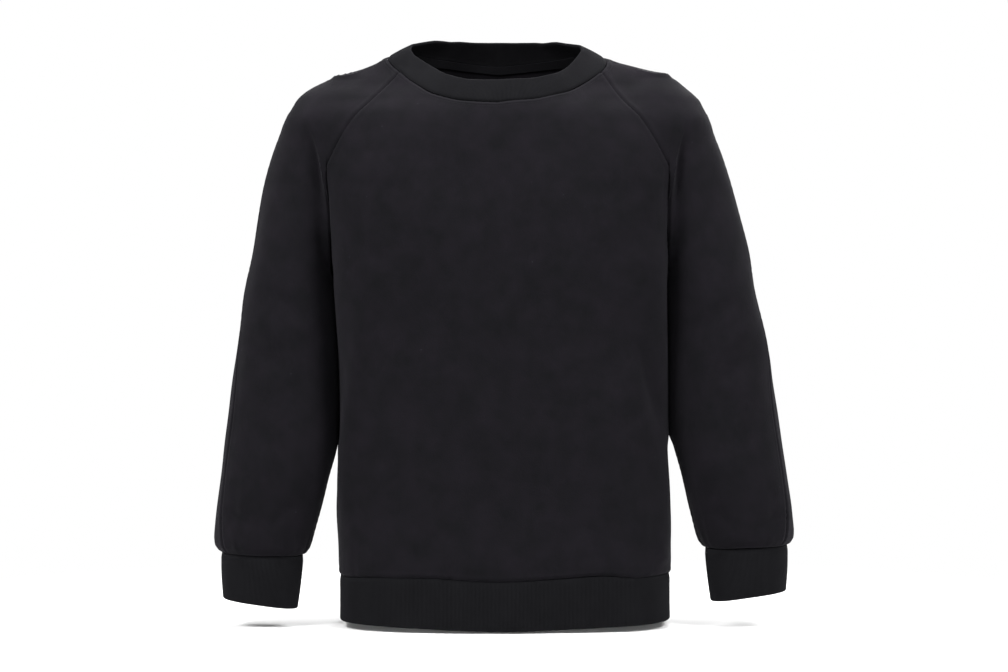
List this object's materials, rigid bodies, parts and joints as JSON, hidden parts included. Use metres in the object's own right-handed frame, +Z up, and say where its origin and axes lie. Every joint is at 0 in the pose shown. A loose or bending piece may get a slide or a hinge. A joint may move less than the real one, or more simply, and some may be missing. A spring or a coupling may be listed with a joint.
{
  "type": "crewneck sweatshirt",
  "caption": "Crewneck raglan sweatshirt in brushed cotton fleece, hollow as worn with nobody in it, with rib neckband, cuffs and hem band.",
  "frame": {"origin": "middle of the neck opening at the height of the two shoulder points, where the wearer holds the garment up", "axes": "+X to the garment's own left, +Y to its back, +Z up; the front faces -Y"},
  "size_m": [0.7171, 0.2349, 0.7308],
  "materials": {
    "fleece": "brushed cotton fleece, garment-washed black",
    "rib": "fine 1x1 cotton rib knit, washed black",
    "tape": "cotton twill tape, black"
  },
  "bodies": {
    "root": {"front_body": "fleece", "back_body": "fleece", "sleeve_front_l": "fleece", "sleeve_back_l": "fleece", "sleeve_front_r": "fleece", "sleeve_back_r": "fleece", "neckband": "rib", "hem_band": "rib", "cuff_l": "rib", "cuff_r": "rib", "neck_tape": "tape"}
  },
  "joints": []
}
